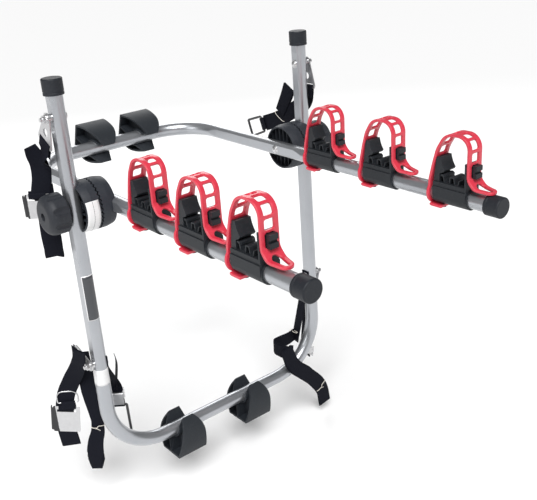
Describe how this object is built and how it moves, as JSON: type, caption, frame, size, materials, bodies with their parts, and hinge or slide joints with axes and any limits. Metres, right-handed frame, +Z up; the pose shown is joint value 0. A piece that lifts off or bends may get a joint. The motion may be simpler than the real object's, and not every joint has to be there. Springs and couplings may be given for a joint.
{
  "type": "bike carrier",
  "caption": "Strap-on bicycle carrier for the back of a car: folding steel arms with saddles and rubber straps on a U-shaped support frame.",
  "frame": {"origin": "middle of the pivot axis between the two toothed hubs", "axes": "+X to the right seen from behind the car, +Y towards the car, +Z up; the arms point along -Y"},
  "size_m": [0.7381, 1.0394, 0.9667],
  "materials": {
    "silver_paint": "satin silver-grey paint",
    "black_cap": "soft black plastic",
    "hub_plastic": "moulded charcoal plastic, fine grain",
    "knob_plastic": "moulded charcoal plastic",
    "cradle_plastic": "moulded black plastic",
    "pad_plastic": "soft black plastic",
    "red_rubber": "smooth coral-red rubber",
    "webbing": "woven black webbing",
    "zinc_steel": "zinc-plated steel",
    "plate_steel": "plated pressed steel",
    "coated_steel": "plated steel, its hooked edge dipped in black"
  },
  "bodies": {
    "support_frame": {"anchor_bolts": "zinc_steel", "anchor_nuts": "zinc_steel", "anchor_plate_lower_left": "plate_steel", "anchor_plate_lower_right": "plate_steel", "anchor_plate_upper_left": "plate_steel", "anchor_plate_upper_right": "plate_steel", "buckle_lower_right": "plate_steel", "buckle_side_left": "plate_steel", "hook_lower_left": "coated_steel", "hook_side_left": "coated_steel", "hook_upper_left": "coated_steel", "hook_upper_right": "coated_steel", "hub_outer_left": "hub_plastic", "hub_outer_right": "hub_plastic", "pivot_washers": "zinc_steel", "post_cap_left": "black_cap", "post_cap_right": "black_cap", "post_frame_tube": "silver_paint", "webbing_lower_left": "webbing", "webbing_lower_right": "webbing", "webbing_side_left": "webbing", "webbing_side_right": "webbing", "webbing_upper_left": "webbing", "webbing_upper_right": "webbing"},
    "arm_frame": {"arm_frame_tube": "silver_paint", "arm_cap_left": "black_cap", "arm_cap_right": "black_cap", "hub_inner_left": "hub_plastic", "hub_inner_right": "hub_plastic", "pivot_bolts": "zinc_steel", "cradle_left_1": "cradle_plastic", "cradle_left_2": "cradle_plastic", "cradle_left_3": "cradle_plastic", "cradle_right_1": "cradle_plastic", "cradle_right_2": "cradle_plastic", "cradle_right_3": "cradle_plastic", "strap_band_left_1": "red_rubber", "strap_band_left_2": "red_rubber", "strap_band_left_3": "red_rubber", "strap_band_right_1": "red_rubber", "strap_band_right_2": "red_rubber", "strap_band_right_3": "red_rubber"},
    "knob_left": {"knob_left": "knob_plastic", "knob_insert_left": "zinc_steel"},
    "strap_left_1": {"strap_flap_left_1": "red_rubber"},
    "strap_left_2": {"strap_flap_left_2": "red_rubber"},
    "strap_left_3": {"strap_flap_left_3": "red_rubber"},
    "lower_pad_left": {"lower_pad_left": "pad_plastic"},
    "upper_pad_left": {"upper_pad_left": "pad_plastic"},
    "knob_right": {"knob_right": "knob_plastic", "knob_insert_right": "zinc_steel"},
    "strap_right_1": {"strap_flap_right_1": "red_rubber"},
    "strap_right_2": {"strap_flap_right_2": "red_rubber"},
    "strap_right_3": {"strap_flap_right_3": "red_rubber"},
    "lower_pad_right": {"lower_pad_right": "pad_plastic"},
    "upper_pad_right": {"upper_pad_right": "pad_plastic"},
    "cam_lower_right": {"cam_lower_right": "plate_steel"},
    "cam_side_left": {"cam_side_left": "plate_steel"}
  },
  "joints": [
    {"name": "arm_fold", "type": "hinge", "parent": "support_frame", "child": "arm_frame", "pos_m": [0, 0, 0], "axis": [1, 0, 0], "range_deg": [-90, 80]},
    {"name": "knob_turn_left", "type": "hinge", "parent": "arm_frame", "child": "knob_left", "pos_m": [-0.333, 0, 0], "axis": [1, 0, 0], "continuous": true},
    {"name": "strap_open_left_1", "type": "hinge", "parent": "arm_frame", "child": "strap_left_1", "pos_m": [-0.223, -0.1298, 0.056], "axis": [-1, 0, 0], "range_deg": [0, 130], "stiffness_Nm_per_rad": 0.4, "deforming": ["strap_flap_left_1"]},
    {"name": "strap_open_left_2", "type": "hinge", "parent": "arm_frame", "child": "strap_left_2", "pos_m": [-0.223, -0.2868, 0.056], "axis": [-1, 0, 0], "range_deg": [0, 130], "stiffness_Nm_per_rad": 0.4, "deforming": ["strap_flap_left_2"]},
    {"name": "strap_open_left_3", "type": "hinge", "parent": "arm_frame", "child": "strap_left_3", "pos_m": [-0.223, -0.4328, 0.056], "axis": [-1, 0, 0], "range_deg": [0, 130], "stiffness_Nm_per_rad": 0.4, "deforming": ["strap_flap_left_3"]},
    {"name": "lower_pad_turn_left", "type": "hinge", "parent": "support_frame", "child": "lower_pad_left", "pos_m": [-0.118, 0, -0.583], "axis": [1, 0, 0], "range_deg": [-60, 60]},
    {"name": "upper_pad_turn_left", "type": "hinge", "parent": "arm_frame", "child": "upper_pad_left", "pos_m": [-0.035, 0.366, 0], "axis": [1, 0, 0], "range_deg": [-60, 60]},
    {"name": "knob_turn_right", "type": "hinge", "parent": "arm_frame", "child": "knob_right", "pos_m": [0.333, 0, 0], "axis": [1, 0, 0], "continuous": true},
    {"name": "strap_open_right_1", "type": "hinge", "parent": "arm_frame", "child": "strap_right_1", "pos_m": [0.223, -0.1158, 0.056], "axis": [-1, 0, 0], "range_deg": [0, 130], "stiffness_Nm_per_rad": 0.4, "deforming": ["strap_flap_right_1"]},
    {"name": "strap_open_right_2", "type": "hinge", "parent": "arm_frame", "child": "strap_right_2", "pos_m": [0.223, -0.2828, 0.056], "axis": [-1, 0, 0], "range_deg": [0, 130], "stiffness_Nm_per_rad": 0.4, "deforming": ["strap_flap_right_2"]},
    {"name": "strap_open_right_3", "type": "hinge", "parent": "arm_frame", "child": "strap_right_3", "pos_m": [0.223, -0.4618, 0.056], "axis": [-1, 0, 0], "range_deg": [0, 130], "stiffness_Nm_per_rad": 0.4, "deforming": ["strap_flap_right_3"]},
    {"name": "lower_pad_turn_right", "type": "hinge", "parent": "support_frame", "child": "lower_pad_right", "pos_m": [0.076, 0, -0.583], "axis": [1, 0, 0], "range_deg": [-60, 60]},
    {"name": "upper_pad_turn_right", "type": "hinge", "parent": "arm_frame", "child": "upper_pad_right", "pos_m": [0.088, 0.366, 0], "axis": [1, 0, 0], "range_deg": [-60, 60]},
    {"name": "cam_open_lower_right", "type": "hinge", "parent": "support_frame", "child": "cam_lower_right", "pos_m": [0.3247, 0.05941, -0.58165], "axis": [0, -0.9877, -0.1564], "range_deg": [0, 60], "stiffness_Nm_per_rad": 0.15},
    {"name": "cam_open_side_left", "type": "hinge", "parent": "support_frame", "child": "cam_side_left", "pos_m": [-0.25269, 0.03159, -0.454], "axis": [-0.7915, 0.6112, 0], "range_deg": [0, 60], "stiffness_Nm_per_rad": 0.15}
  ]
}
